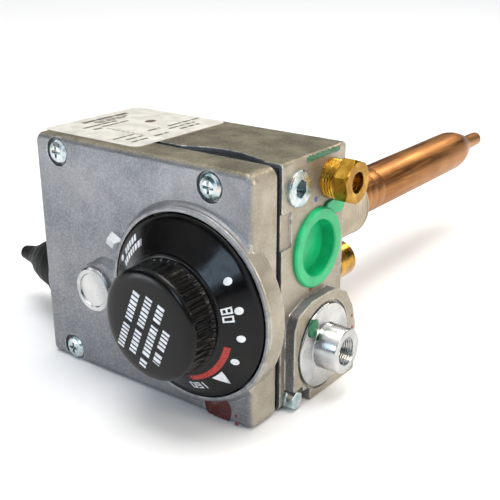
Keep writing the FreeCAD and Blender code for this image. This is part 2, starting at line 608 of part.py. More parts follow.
def thermostat_lever():
    pivot = ("pivot_x", "pivot_y")
    beam = bar("lever_beam", ("main_x - 1.5", "-31", "-2.6"), ("1.6", "-29.4", "2.6"))
    eye = rod("lever_eye", "Z", pivot, "-2.6", "2.6", "2")
    hole = rod("lever_hole", "Z", pivot, "-4", "4", "1 + slip")
    keep(carve("lever", join("lever_solid", [beam, eye]), [hole]), "thermostat_lever")
    ears = [bar(f"bracket_ear_{number}", ("pivot_x - 2.5", "pivot_y - 2", low),
                ("pivot_x + 2.5", "chamber_floor", high))
            for number, (low, high) in enumerate((("-5", "-3.2"), ("3.2", "5")))]
    base = bar("bracket_base", ("pivot_x - 2.5", "chamber_floor - 0.8", "-5"),
               ("pivot_x + 2.5", "chamber_floor", "5"))
    hole = rod("bracket_hole", "Z", pivot, "-6", "6", "1")
    keep(carve("bracket", join("bracket_solid", ears + [base]), [hole]), "lever_bracket")
    keep(rod("pivot", "Z", pivot, "-5.3", "5.3", "1"), "lever_pin")


def main_valve():
    keep(ring("seat_ring", "Y", MAIN, "chamber_floor", "main_seat", "5", "main_bore"), "main_valve_seat")
    keep(turned("poppet", "Y", MAIN, [
        ("chamber_floor - 1.7", "0"), ("chamber_floor - 1.7", "1.2"), ("main_seat", "1.2"),
        ("main_seat", "6.4"), ("main_seat + 1.6", "6.4"), ("main_seat + 1.6", "0")]), "main_valve_disc")
    click = ring("click_ring", "Y", MAIN, "chamber_floor - 1.8", "chamber_floor", "5.2", "7.2")
    keep(click, "clicker_ring")
    keep(turned("clicker", "Y", MAIN, [
        ("chamber_floor - 1.8", "6.6"), ("chamber_floor - 2.1", "6.6"), ("chamber_floor - 2.25", "3"),
        ("chamber_floor - 2.3", "0"), ("chamber_floor - 2.0", "0"),
        ("chamber_floor - 1.95", "3")]), "snap_disc")


# ---- magnet valve and pilot crank ----

def magnet_valve():
    keep(turned("magnet_nut", "X", MAGNET, [
        ("housing_face - 1", "2"), ("housing_face - 1", "magnet_disc"),
        ("housing_face + 0.3", "magnet_disc"), ("housing_face + 0.6", "magnet_disc - 0.3"),
        ("housing_face + 0.6", "magnet_boss + 0.3"), ("housing_face + 0.9", "magnet_boss"),
        ("magnet_end - 0.5", "magnet_boss"), ("magnet_end", "magnet_boss - 0.5"),
        ("magnet_end", "probe_hole"), ("housing_face - 0.5", "probe_hole"),
        ("housing_face - 0.5", "2")]), "magnet_plug")
    contact = rod("terminal", "X", MAGNET, "housing_face - 2.9", "housing_face - 0.6", "1.95")
    keep(contact, "magnet_terminal")
    poles = [("magnet_y", f"magnet_z + {offset}") for offset in ("4.3", "-4.3")]
    legs = [rod(f"core_leg_{number}", "X", pole, "27.5", "housing_face - 2.8", "2.2")
            for number, pole in enumerate(poles)]
    base = ring("core_base", "X", MAGNET, "housing_face - 2.9", "housing_face - 1", "1.95", "8.4")
    keep(join("core", legs + [base]), "magnet_core")
    windings = [ring(f"coil_{number}", "X", pole, "28.4", "housing_face - 3.1", "2.2", "3.9")
                for number, pole in enumerate(poles)]
    keep(group("coil_pair", windings), "magnet_coils")
    keep(turned("can", "X", MAGNET, [
        ("22.2", "1.6"), ("22.2", "8.9"), ("housing_face - 1", "8.9"), ("housing_face - 1", "8.4"),
        ("23", "8.4"), ("23", "1.6")]), "magnet_can")
    keep(turned("keeper", "X", MAGNET, [
        ("safety_seat - 5.3", "0"), ("safety_seat - 5.3", "0.9"), ("safety_seat - 4.7", "1.5"),
        ("24.2", "1.5"), ("24.2", "7.4"), ("25.4", "7.4"), ("25.4", "0")]), "magnet_keeper")
    disc = ring("safety_poppet", "X", MAGNET, "safety_seat", "safety_seat + 1.8", "1.5", "7")
    keep(disc, "safety_valve_disc")


def pilot_crank():
    """A hub with one arm under the dial shaft's nose and one behind the keeper's stem."""
    pieces = [
        rod("crank_hub", "Z", CRANK, "-11.6", "-2.2", "2.2"),
        bar("shaft_arm_root", ("crank_x - 2", "crank_y", "-6"), ("crank_x + 1", "-17", "-2.2")),
        bar("shaft_arm", ("9.6", "-19", "-6"), ("crank_x + 1", "-17", "-2.2")),
        bar("stem_arm_root", ("7.8", "crank_y - 1.4", "-10.6"), ("crank_x", "crank_y + 0.8", "-7.2")),
        bar("stem_leg", ("7.8", "crank_y - 1.4", "magnet_z - 2.2"), ("10", "-20", "-7.2")),
        bar("stem_arm", ("7.8", "crank_y - 1.4", "magnet_z - 2.2"),
            ("10", "magnet_y + 0.9", "magnet_z + 2.2"))]
    hole = rod("crank_hole", "Z", CRANK, "-13", "-1", "1.2 + slip")
    keep(carve("crank", join("crank_solid", pieces), [hole]), "pilot_crank")
    keep(rod("crank_axle", "Z", CRANK, "-15.5", "1.5", "1.2"), "crank_pin")


# ---- gas and pilot connections ----

def pull_tab(name, low, high, radius):
    """A thin moulded tab with round corners, standing along X."""
    body = doc.addObject("PartDesign::Body", name)
    sketch = sketch_on(body, "YZ_Plane", name + "_outline")
    draw(sketch, [(low[1], low[2]), (high[1], low[2]), (high[1], high[2]), (low[1], high[2])])
    pad = body.newObject("PartDesign::Pad", name + "_pad")
    pad.Profile = sketch
    pad.setExpression("Length", cell(f"({high[0]}) - ({low[0]})"))
    put(body, (low[0], "0", "0"))
    round_off(body, name + "_round", radius, lambda way, at: abs(way.x) > 0.9)
    return body


def port_plugs():
    """Moulded shipping plugs: a cup with a tab on the outlet, a cup with a grip on the inlet."""
    cup = turned("outlet_cup", "X", OUTLET, [
        ("right - plug_length", "0"), ("right - plug_length", "plug_stem"), ("right", "plug_stem"),
        ("right", "flange_radius"), ("right + flange_thick - 0.5", "flange_radius"),
        ("right + flange_thick", "flange_radius - 0.5"), ("right + flange_thick", "cup_radius + 0.4"),
        ("right + flange_thick - 0.4", "cup_radius"), ("right - plug_length + 1.4", "cup_radius - 0.4"),
        ("right - plug_length + 1.4", "0")])
    tab = pull_tab("outlet_tab", ("right + 0.2", "outlet_y + 4", "outlet_z + 8.6"),
                   ("right + flange_thick - 0.4", "-1", "outlet_z + 13.2"), "2")
    keep(join("outlet_plug_all", [cup, tab]), "outlet_plug")
    keep(turned("inlet_cup", "X", INLET, [
        ("inlet_face + plug_length", "8.4"), ("inlet_face + plug_length", "plug_stem"),
        ("inlet_face", "plug_stem"), ("inlet_face", "flange_radius"),
        ("inlet_face - flange_thick", "flange_radius"), ("inlet_face - flange_thick - 1.2", "10"),
        ("inlet_face - 8", "9.8"), ("inlet_face - 12", "8.8"), ("inlet_face - 16", "7.2"),
        ("inlet_face - 19", "5.2"), ("inlet_face - 22.5", "3.7"), ("inlet_face - 28.4", "2.6"),
        ("inlet_face - 28.9", "2.1"), ("inlet_face - 28.9", "0"),
        ("inlet_face - 1", "0"), ("inlet_face - 1", "8.4")]), "inlet_plug")
    keep(rod("screen", "X", INLET, "left + 2.5", "left + 3.3", "10.2"), "inlet_screen")


def pilot_connection():
    keep(turned("pilot_body", "X", PILOT, [
        ("24", "1.2"), ("24", "pilot_thread"), ("right", "pilot_thread"), ("right", "6.2"),
        ("nut_back - 0.4", "6.2"), ("nut_back", "5.8"), ("nut_back", "4.4"),
        ("nut_front - 3", "4.4"), ("nut_front - 3", "tube_hole"), ("pilot_seat", "tube_hole"),
        ("pilot_seat - 1.2", "1.2")]), "pilot_fitting")
    hexagon = doc.addObject("Part::Prism", "nut_hexagon")
    hexagon.Polygon = 6
    drive(hexagon, Circumradius="nut_flats / sqrt(3)", Height="nut_front - nut_back")
    put(hexagon, ("nut_back", "pilot_y", "pilot_z"), Rotation(Vector(1, 0, 0), 10) * ALONG["X"])
    chamfer = turned("nut_chamfer", "X", PILOT, [
        ("nut_back", "0"), ("nut_back", "nut_flats * 0.56"), ("nut_back + 0.5", "nut_flats * 0.6"),
        ("nut_front - 0.9", "nut_flats * 0.6"), ("nut_front", "nut_flats * 0.5"), ("nut_front", "0")])
    blank = doc.addObject("Part::Common", "nut_blank")
    blank.Base = hexagon
    blank.Tool = chamfer
    bores = [rod("nut_thread_bore", "X", PILOT, "nut_back - 1", "nut_front - 1.6", "4.4"),
             rod("nut_tube_bore", "X", PILOT, "nut_back", "nut_front + 1", "tube_hole")]
    keep(carve("nut", blank, bores), "pilot_nut")
    ferrule = ring("ferrule", "X", PILOT, "nut_front - 3", "nut_front - 1.6", "tube_hole", "4.3")
    keep(ferrule, "pilot_ferrule")
    keep(ring("filter", "X", PILOT, "16.5", "23", "1.5", "4.2"), "pilot_filter")


def springs():
    wire = sheet.spring_wire
    dial = (sheet.dial_x, sheet.dial_z)
    magnet = (sheet.magnet_y, sheet.magnet_z)
    regulator_axis = (sheet.regulator_x, sheet.regulator_z)
    coil("knob_spring", "Y", dial, sheet.knob_coil_top, sheet.boss_floor, sheet.knob_coil, wire, 6)
    coil("cock_spring", "Y", dial, sheet.cavity_front, -32.5, 6.4, 0.4, 4)
    coil("regulator_spring", "Y", regulator_axis, sheet.front + 1, sheet.diaphragm_front - 0.8, 4, 0.4, 6)
    coil("main_valve_spring", "Y", (sheet.main_x, sheet.main_z), sheet.main_seat + 1.6, -8, 5, 0.4, 6)
    coil("safety_spring", "X", magnet, sheet.safety_seat + 1.8, 22.2, 4.6, 0.35, 3)


BUILDERS = [front_cover, cover_gasket, valve_body, cover_screws, seal_wax, rating_label, housing_screw,
            tap_plug, rear_plug, temperature_dial, knob_cap, dial_shaft, gas_cock, dial_stop_pin, shaft_seal,
            regulator, tank_shank, sensing_tube, thermostat_lever, main_valve, magnet_valve, pilot_crank,
            port_plugs, pilot_connection, springs]


def check_everything():
    for item in doc.Objects:
        if "Invalid" in item.State or "Error" in item.State:
            raise SystemExit(f"{item.Name} ({item.Label}) failed: {item.State}")
    for label, item in subparts.items():
        if item.Shape.isNull() or not item.Shape.isValid() or not item.Shape.Solids:
            raise SystemExit(f"{label} has no valid solid")


def write_everything():
    os.makedirs("parts", exist_ok=True)
    for label, item in subparts.items():
        item.Shape.exportStep(f"parts/{label}.step")
        box = item.Shape.BoundBox
        print(f"{label:22s} {len(item.Shape.Solids)} solid {item.Shape.Volume:10.1f} mm3"
              f"  X {box.XMin:7.1f} {box.XMax:7.1f}  Y {box.YMin:7.1f} {box.YMax:7.1f}"
              f"  Z {box.ZMin:7.1f} {box.ZMax:7.1f}")


for builder in BUILDERS:
    builder()
doc.recompute()
check_everything()
write_everything()
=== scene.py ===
"""Looks of the water heater gas valve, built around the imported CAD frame. Metres, CAD frame."""
import json
import math
import random

import bmesh
import bpy
from mathutils import Matrix, Vector


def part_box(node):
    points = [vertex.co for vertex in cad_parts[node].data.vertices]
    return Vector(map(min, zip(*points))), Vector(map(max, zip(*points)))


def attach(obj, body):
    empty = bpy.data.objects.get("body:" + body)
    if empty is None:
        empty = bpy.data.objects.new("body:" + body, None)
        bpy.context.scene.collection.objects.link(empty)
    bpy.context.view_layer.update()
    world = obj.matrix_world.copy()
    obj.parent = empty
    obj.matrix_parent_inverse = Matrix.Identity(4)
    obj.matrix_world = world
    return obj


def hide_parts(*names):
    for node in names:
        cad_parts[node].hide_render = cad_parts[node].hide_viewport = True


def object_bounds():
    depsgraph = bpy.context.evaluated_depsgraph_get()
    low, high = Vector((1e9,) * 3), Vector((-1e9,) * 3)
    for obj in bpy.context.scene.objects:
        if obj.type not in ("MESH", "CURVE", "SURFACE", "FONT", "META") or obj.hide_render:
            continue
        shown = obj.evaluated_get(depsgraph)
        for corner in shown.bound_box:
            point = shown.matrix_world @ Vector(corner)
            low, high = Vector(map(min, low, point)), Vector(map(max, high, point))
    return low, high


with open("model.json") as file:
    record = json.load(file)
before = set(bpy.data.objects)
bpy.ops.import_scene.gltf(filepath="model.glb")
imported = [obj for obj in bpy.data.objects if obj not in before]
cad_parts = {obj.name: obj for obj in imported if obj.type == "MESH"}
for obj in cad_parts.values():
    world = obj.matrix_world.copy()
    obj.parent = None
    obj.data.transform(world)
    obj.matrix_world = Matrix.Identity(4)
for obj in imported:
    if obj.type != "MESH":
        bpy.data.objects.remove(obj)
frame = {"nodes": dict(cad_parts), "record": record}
CAD_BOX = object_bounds()
NODES = frame["nodes"]
MATERIALS = {}
MM = 0.001
DICE = random.Random(7)


# ---- places in the frame, in millimetres ----

def middle(node):
    """The middle of a node's box, in metres."""
    low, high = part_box(node)
    return (low + high) / 2


def across(node, axis):
    """Where a node's axis runs, in the two directions across it."""
    point = [value / MM for value in middle(node)]
    point.pop("XYZ".index(axis))
    return point


def span(node, axis):
    """Where a node starts and ends along an axis."""
    return [corner["XYZ".index(axis)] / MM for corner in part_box(node)]


# where the axes of the sensing tube and of the dial run, in X and Z
TUBE = (0, 0)
DIAL = across("knob_cap", "Y")
KNOB_FRONT, KNOB_BASE = span("knob_cap", "Y")
SKIRT_BACK = span("temperature_dial", "Y")[1]
FRONT = span("front_cover", "Y")[0]
# the casting's right side lies outside the gasket, and the magnet housing's face stands out from it
GASKET_INSET = 1.2
SIDE = span("cover_gasket", "X")[1] + GASKET_INSET
HOUSING_FACE = SIDE + 3.5
ROOF = span("front_cover", "Z")[1]
ROOF_ROUNDING = 1.2
LABEL_TOP = span("rating_label", "Z")[1] - 0.04


# ---- materials ----

class Finish:
    """A Principled material, kept in MATERIALS under its name, with short ways to add its nodes."""

    def __init__(self, name, color, metallic, roughness, **sockets):
        self.material = bpy.data.materials.new(name)
        MATERIALS[name] = self.material
        self.material.use_nodes = True
        self.tree = self.material.node_tree
        self.shader = self.tree.nodes["Principled BSDF"]
        self.shader.inputs["Base Color"].default_value = (*color, 1)
        self.shader.inputs["Metallic"].default_value = metallic
        self.shader.inputs["Roughness"].default_value = roughness
        for socket, value in sockets.items():
            self.shader.inputs[socket.replace("_", " ")].default_value = value
        self.spot = self.node("ShaderNodeTexCoord").outputs["Object"]

    def node(self, kind, **values):
        """A new node. A value goes to the input of its name, or else to the node's setting."""
        node = self.tree.nodes.new(kind)
        for key, value in values.items():
            if key in node.inputs:
                self.feed(node.inputs[key], value)
            else:
                setattr(node, key, value)
        return node

    def feed(self, socket, value):
        if isinstance(value, bpy.types.NodeSocket):
            self.tree.links.new(value, socket)
        else:
            socket.default_value = value

    def set(self, socket, value):
        self.feed(self.shader.inputs[socket], value)

    def math(self, operation, first, second):
        node = self.node("ShaderNodeMath", operation=operation)
        self.feed(node.inputs[0], first)
        self.feed(node.inputs[1], second)
        return node.outputs[0]

    def stretch(self, x, y, z):
        """The object's coordinates scaled along each axis."""
        return self.node("ShaderNodeMapping", Vector=self.spot, Scale=(x, y, z)).outputs[0]

    def noise(self, scale, detail=3.0, roughness=0.5, spot=None, distortion=0.0):
        node = self.node("ShaderNodeTexNoise", Vector=spot or self.spot, Scale=scale, Detail=detail,
                         Roughness=roughness, Distortion=distortion)
        return node.outputs["Fac"]

    def cells(self, scale):
        return self.node("ShaderNodeTexVoronoi", Vector=self.spot, Scale=scale).outputs["Distance"]

    def rings(self, scale, axis, centre):
        """Fine turned rings about an axis through centre, which is in millimetres."""
        offset = list(centre)
        offset.insert("XYZ".index(axis), 0)
        moved = self.node("ShaderNodeMapping", Vector=self.spot, Location=[-value * MM for value in offset])
        return self.node("ShaderNodeTexWave", wave_type="RINGS", rings_direction=axis, Scale=scale,
                         Vector=moved.outputs[0], Distortion=0.6, Detail=2.0).outputs["Fac"]

    def steps(self, factor, low, high, start=0.0, end=1.0):
        """Factor mapped smoothly from low..high to start..end."""
        node = self.node("ShaderNodeMapRange", interpolation_type="SMOOTHSTEP")
        for socket, value in zip(("Value", "From Min", "From Max", "To Min", "To Max"),
                                 (factor, low, high, start, end)):
            self.feed(node.inputs[socket], value)
        return node.outputs[0]

    def blend(self, factor, first, second):
        """A colour between two, each a colour or another node's output."""
        node = self.node("ShaderNodeMix", data_type="RGBA")
        for socket, value in ((0, factor), (6, first), (7, second)):
            if isinstance(value, tuple):
                value = (*value, 1)
            self.feed(node.inputs[socket], value)
        return node.outputs[2]

    def bump(self, height, strength, depth, under=None):
        node = self.node("ShaderNodeBump", Height=height, Strength=strength, Distance=depth)
        if under is not None:
            self.feed(node.inputs["Normal"], under)
        return node.outputs[0]

    def facing(self, axis, start):
        """1 where the surface looks along an axis of the frame and lies beyond start, in metres."""
        normal = self.node("ShaderNodeNewGeometry").outputs["Normal"]
        looks = self.node("ShaderNodeSeparateXYZ", Vector=normal).outputs[axis]
        place = self.node("ShaderNodeSeparateXYZ", Vector=self.spot).outputs[axis]
        return self.math("MULTIPLY", self.steps(looks, 0.35, 0.9), self.steps(place, start, start + 0.004))

    def soft_edges(self, radius):
        return self.node("ShaderNodeBevel", samples=4, Radius=radius).outputs[0]

    def edge_mask(self, radius):
        """1 along edges, 0 on flat faces."""
        product = self.node("ShaderNodeVectorMath", operation="DOT_PRODUCT")
        self.feed(product.inputs[0], self.soft_edges(radius))
        self.feed(product.inputs[1], self.node("ShaderNodeNewGeometry").outputs["Normal"])
        return self.steps(product.outputs["Value"], 0.86, 0.99, 1.0, 0.0)


def cast_aluminium():
    """Sand-blasted casting, bluish grey in front. The warmer tint on the right side and the olive tint on the
    roof are painted warm light and shade from the right and above.
    """
    finish = Finish("cast_aluminium", (0.3, 0.3, 0.3), 0.75, 0.5)
    broad = finish.steps(finish.noise(26, 4, 0.55), 0.35, 0.68)
    cloud = finish.steps(finish.noise(75, 5, 0.6), 0.35, 0.68)
    fine = finish.noise(1500, 4, 0.6)
    pits = finish.steps(finish.cells(900), 0.02, 0.25)
    colour = finish.blend(broad, (0.165, 0.175, 0.195), (0.26, 0.265, 0.28))
    # painted light: warm tints on faces looking right and up stand in for the warm light from the right and
    # above
    painted_side_light = finish.blend(cloud, (0.30, 0.265, 0.20), (0.44, 0.40, 0.33))
    painted_roof_shade = finish.blend(cloud, (0.14, 0.12, 0.068), (0.25, 0.22, 0.14))
    colour = finish.blend(finish.facing("X", 0.02), colour, painted_side_light)
    colour = finish.blend(finish.facing("Z", 0.032), colour, painted_roof_shade)
    colour = finish.blend(finish.steps(fine, 0.42, 0.62, 0.0, 0.35), colour, (0.42, 0.41, 0.40))
    # bright edges: partly rubbed bare metal, partly a painted highlight on the rounded edges
    wear_and_edge_highlight = finish.math("MULTIPLY", finish.edge_mask(0.0008), finish.steps(finish.noise(300), 0.35, 0.6))
    colour = finish.blend(wear_and_edge_highlight, colour, (0.66, 0.65, 0.62))
    scratch = finish.steps(finish.noise(70, 2, 0.5, finish.stretch(1, 14, 9), 1.2), 0.69, 0.73)
    faint = finish.math("MULTIPLY", scratch, 0.12)
    finish.set("Base Color", finish.blend(faint, colour, (0.5, 0.5, 0.49)))
    rough = finish.steps(finish.noise(160, 4), 0.3, 0.75, 0.4, 0.56)
    finish.set("Roughness", finish.math("SUBTRACT", rough, finish.math("MULTIPLY", wear_and_edge_highlight, 0.2)))
    height = finish.math("ADD", finish.math("MULTIPLY", fine, 0.7), finish.math("MULTIPLY", pits, 0.3))
    finish.set("Normal", finish.bump(height, 0.4, 0.00014, finish.soft_edges(0.0005)))


def machined_aluminium():
    """Bright turned metal, with its rings about the magnet plug's axis."""
    finish = Finish("machined_aluminium", (0.6, 0.6, 0.6), 1.0, 0.2)
    turned_marks = finish.rings(900, "X", across("magnet_plug", "X"))
    smear = finish.steps(finish.noise(120, 3), 0.35, 0.7)
    finish.set("Base Color", finish.blend(smear, (0.40, 0.41, 0.42), (0.58, 0.58, 0.57)))
    finish.set("Roughness", finish.steps(finish.noise(260, 3), 0.3, 0.7, 0.14, 0.3))
    finish.set("Normal", finish.bump(turned_marks, 0.3, 0.00006, finish.soft_edges(0.0002)))


def gloss_black():
    """The dial's and knob's plastic, with a slight haze."""
    finish = Finish("black_plastic", (0.004, 0.004, 0.005), 0.0, 0.1, Specular_IOR_Level=0.24)
    haze = finish.steps(finish.noise(90, 3), 0.4, 0.7)
    finish.set("Base Color", finish.blend(haze, (0.002, 0.002, 0.0025), (0.005, 0.0045, 0.004)))
    finish.set("Roughness", finish.steps(finish.noise(420, 3), 0.3, 0.75, 0.12, 0.24))
    finish.set("Normal", finish.bump(finish.noise(60, 2), 0.1, 0.00006, finish.soft_edges(0.00012)))


def zinc_steel():
    """Zinc-plated steel, bluish with tan patches."""
    finish = Finish("zinc_steel", (0.5, 0.55, 0.57), 1.0, 0.22)
    film = finish.noise(320, 3, 0.6)
    colour = finish.blend(finish.steps(film, 0.35, 0.6), (0.30, 0.45, 0.47), (0.62, 0.66, 0.68))
    finish.set("Base Color", finish.blend(finish.steps(film, 0.6, 0.72), colour, (0.62, 0.52, 0.40)))
    finish.set("Roughness", finish.steps(finish.noise(500, 3), 0.3, 0.7, 0.16, 0.34))
    finish.set("Normal", finish.bump(finish.noise(900, 3), 0.2, 0.00006, finish.soft_edges(0.00025)))


def copper():
    """Drawn copper, streaked along Y."""
    finish = Finish("copper", (0.55, 0.24, 0.11), 1.0, 0.3)
    drawn = finish.noise(60, 4, 0.6, finish.stretch(14, 0.6, 14))
    cloud = finish.steps(finish.noise(45, 4, 0.55), 0.35, 0.7)
    colour = finish.blend(cloud, (0.27, 0.105, 0.03), (0.44, 0.20, 0.06))
    streak = finish.steps(drawn, 0.45, 0.7, 0.0, 0.6)
    finish.set("Base Color", finish.blend(streak, colour, (0.52, 0.26, 0.09)))
    finish.set("Roughness", finish.steps(drawn, 0.3, 0.7, 0.3, 0.48))
    finish.set("Normal", finish.bump(drawn, 0.18, 0.0001))


def brass():
    """Turned brass, tarnished in clouds."""
    finish = Finish("brass", (0.66, 0.38, 0.06), 1.0, 0.2)
    cloud = finish.steps(finish.noise(240, 3), 0.35, 0.7)
    finish.set("Base Color", finish.blend(cloud, (0.30, 0.15, 0.015), (0.54, 0.31, 0.045)))
    finish.set("Roughness", finish.steps(finish.noise(380, 3), 0.3, 0.7, 0.16, 0.34))
    finish.set("Normal", finish.bump(finish.noise(1100, 2), 0.15, 0.00004, finish.soft_edges(0.0003)))


def plain(name, color, metallic, roughness, grain, depth=0.00005, **sockets):
    """One colour with a grain in its shade, roughness and bump."""
    finish = Finish(name, color, metallic, roughness, **sockets)
    darker = tuple(part * 0.78 for part in color)
    finish.set("Base Color", finish.blend(finish.steps(finish.noise(grain), 0.3, 0.7), darker, color))
    spread = (roughness * 0.8, roughness * 1.2)
    finish.set("Roughness", finish.steps(finish.noise(grain * 2), 0.2, 0.8, *spread))
    finish.set("Normal", finish.bump(finish.noise(grain * 3), 0.3, depth, finish.soft_edges(0.0003)))


def plain_finishes():
    """The other slots, and a brighter casting for the index pointer."""
    plain("gasket_rubber", (0.008, 0.009, 0.011), 0, 0.8, 300, Specular_IOR_Level=0.2)
    plain("label_paper", (0.60, 0.585, 0.53), 0, 0.45, 200, 0.00003)
    plain("red_wax", (0.085, 0.005, 0.006), 0, 0.26, 500, 0.0003)
    plain("white_plastic", (0.66, 0.65, 0.61), 0, 0.4, 300)
    plain("grey_plastic", (0.3, 0.3, 0.3), 0, 0.5, 300)
    plain("spring_steel", (0.5, 0.5, 0.5), 1, 0.3, 300)
    plain("sealed_shank", (0.50, 0.44, 0.34), 0, 0.5, 140, 0.0002)
    plain("iron_core", (0.2, 0.2, 0.2), 1, 0.5, 300)
    plain("ceramic_body", (0.8, 0.78, 0.72), 0, 0.6, 300)
    plain("green_plastic", (0.003, 0.46, 0.17), 0, 0.34, 220, 0.0001,
          Subsurface_Weight=0.08, Subsurface_Scale=0.002)
    plain("plug_black", (0.005, 0.005, 0.005), 0, 0.5, 300, 0.0001, Specular_IOR_Level=0.2)
    plain("bright_casting", (0.62, 0.63, 0.64), 0.6, 0.42, 500)


def print_finishes():
    """Print, paint, ink and rust, for marks that are in the looks only."""
    plain("white_print", (0.80, 0.82, 0.86), 0, 0.35, 600, 0.00002)
    plain("red_print", (0.42, 0.018, 0.012), 0, 0.3, 600, 0.00002)
    plain("label_ink", (0.11, 0.09, 0.06), 0, 0.5, 900, 0.00002)
    plain("green_paint", (0.008, 0.14, 0.06), 0, 0.25, 700, 0.0002)
    plain("blue_ink", (0.02, 0.06, 0.25), 0, 0.3, 700, 0.00005)
    plain("rust", (0.20, 0.09, 0.04), 0, 0.6, 900, 0.00005)
    plain("maroon_ink", (0.16, 0.01, 0.03), 0, 0.4, 700, 0.00005)


def dress_nodes():
    """Give every CAD node the material of its slot, and the index pointer a brighter one."""
    for entry in frame["record"]["subparts"]:
        slots = NODES[entry["node"]].data.materials
        material = MATERIALS[entry["material_slot"]]
        if not slots:
            slots.append(material)
        for i in range(len(slots)):
            slots[i] = material
    NODES["index_pointer"].data.materials[0] = MATERIALS["bright_casting"]


# ---- helpers for pieces ----

SHARP_ANGLE = 35
MARK_DEPTH = 0.04


def piece(name, shape, material, body="casting", stands_for=()):
    """Make a piece of a bmesh that rides on a body and may stand for CAD nodes."""
    bmesh.ops.recalc_face_normals(shape, faces=shape.faces)
    mesh = bpy.data.meshes.new(name)
    shape.to_mesh(mesh)
    shape.free()
    mesh.polygons.foreach_set("use_smooth", [True] * len(mesh.polygons))
    mesh.set_sharp_from_angle(angle=math.radians(SHARP_ANGLE))
    mesh.materials.append(MATERIALS[material])
    item = bpy.data.objects.new(name, mesh)
    bpy.context.scene.collection.objects.link(item)
    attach(item, body)
    if stands_for:
        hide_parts(*stands_for)


def turned(axis, centre, profile, count, relief=None):
    """A closed shape turned about an axis. The profile is (along, radius) in millimetres, from the axis to
    the axis or round a loop. relief(along, radius, angle) may change the radius."""
    shape = bmesh.new()
    rings = []
    for along, radius in profile:
        ring = []
        for i in range(count if radius else 1):
            turn = 2 * math.pi * i / count
            reach = relief(along, radius, turn) if relief and radius else radius
            point = [centre[0] + reach * math.cos(turn), centre[1] + reach * math.sin(turn)]
            point.insert("XYZ".index(axis), along)
            ring.append(shape.verts.new(Vector(point) * MM))
        rings.append(ring)
    pairs = list(zip(rings, rings[1:]))
    if len(rings[0]) > 1 and len(rings[-1]) > 1:
        pairs.append((rings[-1], rings[0]))
    for first, second in pairs:
        for i in range(count if len(first) + len(second) > 2 else 0):
            j = (i + 1) % count
            corners = (first[i % len(first)], first[j % len(first)],
                       second[j % len(second)], second[i % len(second)])
            shape.faces.new(list(dict.fromkeys(corners)))
    return shape


def stamped(outlines, place, thick=0.05):
    """Flat printed marks as thin solids. place(u, v, lift) puts an outline's point on the surface."""
    shape = bmesh.new()
    for outline in outlines:
        top = [shape.verts.new(place(u, v, thick)) for u, v in outline]
        base = [shape.verts.new(place(u, v, -MARK_DEPTH)) for u, v in outline]
        shape.faces.new(top)
        shape.faces.new(base[::-1])
        for i in range(len(outline)):
            j = (i + 1) % len(outline)
            shape.faces.new((top[i], base[i], base[j], top[j]))
    return shape


def block(left, low, wide, high):
    return [(left, low), (left + wide, low), (left + wide, low + high), (left, low + high)]


def dot(u, v, radius, count=20, wobble=0.0):
    """A round outline, or a ragged one with a wobble, which is a share of the radius."""
    points = []
    for i in range(count):
        turn = 2 * math.pi * i / count
        reach = radius * (1 + wobble * DICE.uniform(-1, 1))
        points.append((u + reach * math.cos(turn), v + reach * math.sin(turn)))
    return points


def dashes(start, end, low, high, letters, words, gap):
    """A row of plain blocks in word-like groups, in place of printed words. letters is the range of the
    blocks' widths and words the range of their count in a group."""
    row = []
    left = start
    count = DICE.randint(*words)
    while left < end:
        wide = min(DICE.uniform(*letters), end - left)
        if wide > 0.3:
            row.append(block(left, low, wide, high - low))
        left += wide + gap
        count -= 1
        if count == 0:
            left += 2.5 * gap
            count = DICE.randint(*words)
    return row


SIX = [(0, 0, 4, 1), (0, 2.5, 4, 1), (0, 5, 4, 1), (0, 1, 1, 1.5), (3, 1, 1, 1.5), (0, 3.5, 1, 1.5)]
DIGITS = {
    "0": [(0, 0, 4, 1), (0, 5, 4, 1), (0, 1, 1, 4), (3, 1, 1, 4)],
    "1": [(1.5, 0, 1, 6)],
    "6": SIX,
    "8": SIX + [(3, 3.5, 1, 1.5)]}


def number(text, height):
    """Outlines of a number, its middle at 0 and its foot at 0."""
    unit = height / 6
    left = -(len(text) * 5 - 1) * unit / 2
    outlines = []
    for place, digit in enumerate(text):
        for x, y, wide, high in DIGITS[digit]:
            outlines.append(block(left + (5 * place + x) * unit, y * unit, wide * unit, high * unit))
    return outlines


# ---- dial and knob ----

# the dial's cone: (along, radius) at its outer and inner ends
CONE = ((SKIRT_BACK - 2.75, 27.6), (KNOB_BASE + 0.6, 18.6))
CONE_RADII = (27.55, 26.5, 25, 23, 21, 19.5, 18.9)
# the knob's rounded face: (distance behind its front, radius)
KNOB_FACE = [(0.06, 0), (0.07, 6), (0.09, 10), (0.16, 12.6), (0.3, 14.4), (0.55, 15.6), (0.85, 16.3),
             (1.3, 16.75), (1.8, 16.95)]
FLUTES = 40
# the way that the knob's printed rows run, in X and Z
KNOB_ROWS = (-0.38, -0.925)


def cone_along(radius):
    (outer, wide), (inner, narrow) = CONE
    return outer + (inner - outer) * (wide - radius) / (wide - narrow)


def on_cone(radius, angle, lift):
    """A point on the dial's cone, at an angle in degrees from +X as seen from the front."""
    (outer, wide), (inner, narrow) = CONE
    slant = math.hypot(outer - inner, wide - narrow)
    along = cone_along(radius) - lift * (wide - narrow) / slant
    reach = radius + lift * (outer - inner) / slant
    turn = math.radians(angle)
    return Vector((DIAL[0] + reach * math.cos(turn), along, DIAL[1] + reach * math.sin(turn))) * MM


def band(inner, outer, inner_angles, outer_angles, cuts):
    """A strip of the cone between two radii and two pairs of angles, cut into short quads."""
    quads = []
    for i in range(cuts):
        near, far = [[start + (end - start) * part for start, end in (inner_angles, outer_angles)]
                     for part in (i / cuts, (i + 1) / cuts)]
        quads.append([(inner, near[0]), (outer, near[1]), (outer, far[1]), (inner, far[0])])
    return quads


